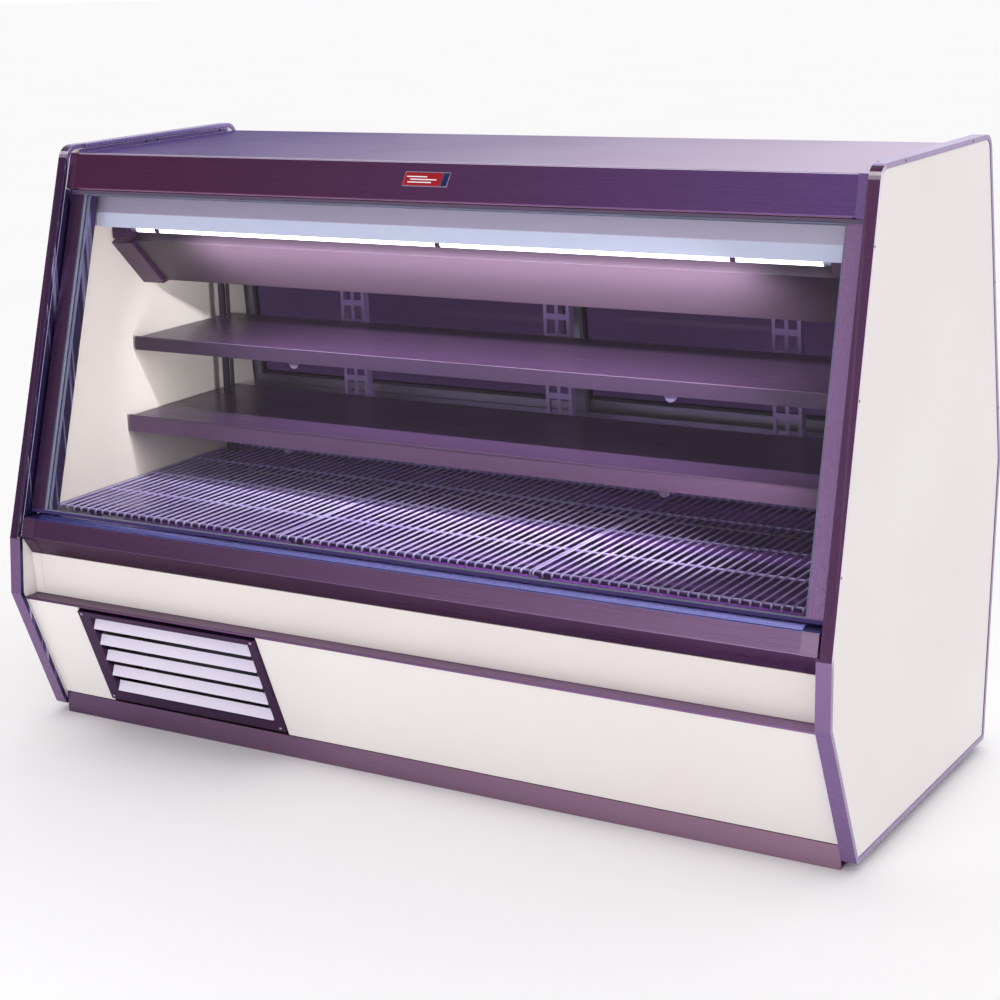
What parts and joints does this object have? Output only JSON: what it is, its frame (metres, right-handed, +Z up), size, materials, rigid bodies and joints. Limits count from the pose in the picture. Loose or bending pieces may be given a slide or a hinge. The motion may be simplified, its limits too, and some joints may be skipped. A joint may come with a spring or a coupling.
{
  "type": "refrigerated deli case",
  "caption": "Refrigerated service display counter with a sloping tilt-out glass front, lipped shelves, wire deck racks, sliding rear doors and a condensing unit in its base.",
  "frame": {"origin": "middle of the footprint on the floor, under the centre of the bounding box", "axes": "+X along the case to the customer's right, +Y from the customer's side to the server's side, +Z up"},
  "size_m": [1.93, 0.9, 1.266],
  "materials": {
    "trim_steel": "brushed, dark plum tint",
    "roof_steel": "bright, smooth",
    "white_enamel": "smooth satin enamel",
    "cream_enamel": "smooth satin enamel",
    "slat_enamel": "satin enamel",
    "shelf_steel": "polished",
    "tank_steel": "satin",
    "rack_wire": "bright plated wire",
    "clear_glass": "clear",
    "door_aluminium": "satin anodised",
    "coil_aluminium": "mill",
    "galvanised_steel": "galvanised",
    "black_paint": "gloss black",
    "black_plastic": "moulded",
    "lamp_glass": "white fluorescent tube"
  },
  "bodies": {
    "cabinet": {"band_panel": "white_enamel", "base_frame": "trim_steel", "coil_drip_pan": "shelf_steel", "compressor": "black_paint", "condensate_pan": "galvanised_steel", "condenser_coil": "coil_aluminium", "deck_rack_1": "rack_wire", "deck_rack_2": "rack_wire", "deck_rack_3": "rack_wire", "door_track_bottom": "trim_steel", "door_track_top": "trim_steel", "end_liner_left": "cream_enamel", "end_liner_right": "cream_enamel", "end_panel_left": "white_enamel", "end_panel_right": "white_enamel", "end_trim_left": "trim_steel", "end_trim_right": "trim_steel", "evaporator_coil": "coil_aluminium", "fan_motor": "black_paint", "fan_shroud": "black_paint", "fascia": "trim_steel", "front_ledge": "trim_steel", "front_post_left": "trim_steel", "front_post_right": "trim_steel", "lamp_bracket_left": "trim_steel", "lamp_bracket_right": "trim_steel", "lamp_tube": "lamp_glass", "lamp_valance": "cream_enamel", "lower_panel_left": "white_enamel", "lower_panel_right": "white_enamel", "nose_rail": "trim_steel", "power_gland": "black_plastic", "rear_panel": "white_enamel", "roof_panel": "roof_steel", "shelf_lower": "shelf_steel", "shelf_standard_1": "shelf_steel", "shelf_standard_2": "shelf_steel", "shelf_standard_3": "shelf_steel", "shelf_upper": "shelf_steel", "tank_floor": "tank_steel", "tank_front_wall": "tank_steel", "tank_rear_wall": "white_enamel", "unit_base": "galvanised_steel"},
    "front_glass_sash": {"glass_frame": "trim_steel", "front_glass": "clear_glass"},
    "door_left": {"door_frame_left": "door_aluminium", "door_glass_left": "clear_glass", "door_pull_left": "black_plastic"},
    "door_right": {"door_frame_right": "door_aluminium", "door_glass_right": "clear_glass", "door_pull_right": "black_plastic"},
    "louvre_grille": {"grille_frame": "trim_steel", "grille_slat_1": "slat_enamel", "grille_slat_2": "slat_enamel", "grille_slat_3": "slat_enamel", "grille_slat_4": "slat_enamel", "grille_slat_5": "slat_enamel"},
    "condenser_fan_wheel": {"condenser_fan": "coil_aluminium"},
    "light_switch": {"light_rocker": "black_plastic"},
    "thermostat": {"thermostat_knob": "black_plastic"}
  },
  "joints": [
    {"name": "front_glass_tilt", "type": "hinge", "parent": "cabinet", "child": "front_glass_sash", "pos_m": [0, -0.3984, 0.4816], "axis": [1, 0, 0], "range_deg": [0, 30]},
    {"name": "door_left_slide", "type": "slide", "parent": "cabinet", "child": "door_left", "axis": [1, 0, 0], "range_m": [0, 0.9]},
    {"name": "door_right_slide", "type": "slide", "parent": "cabinet", "child": "door_right", "axis": [1, 0, 0], "range_m": [-0.9, 0]},
    {"name": "grille_lift_off", "type": "slide", "parent": "cabinet", "child": "louvre_grille", "axis": [0, -1, 0], "range_m": [0, 0.15]},
    {"name": "condenser_fan_spin", "type": "hinge", "parent": "cabinet", "child": "condenser_fan_wheel", "pos_m": [-0.545, -0.2, 0.168], "axis": [0, 1, 0], "continuous": true},
    {"name": "light_switch_rock", "type": "hinge", "parent": "cabinet", "child": "light_switch", "pos_m": [0.8, 0.42163, 0.48525], "axis": [1, 0, 0], "range_deg": [0, 14]},
    {"name": "thermostat_turn", "type": "hinge", "parent": "cabinet", "child": "thermostat", "pos_m": [0.7, 0.43149, 0.48357], "axis": [0, 0.9857, -0.1683], "range_deg": [0, 300]}
  ]
}
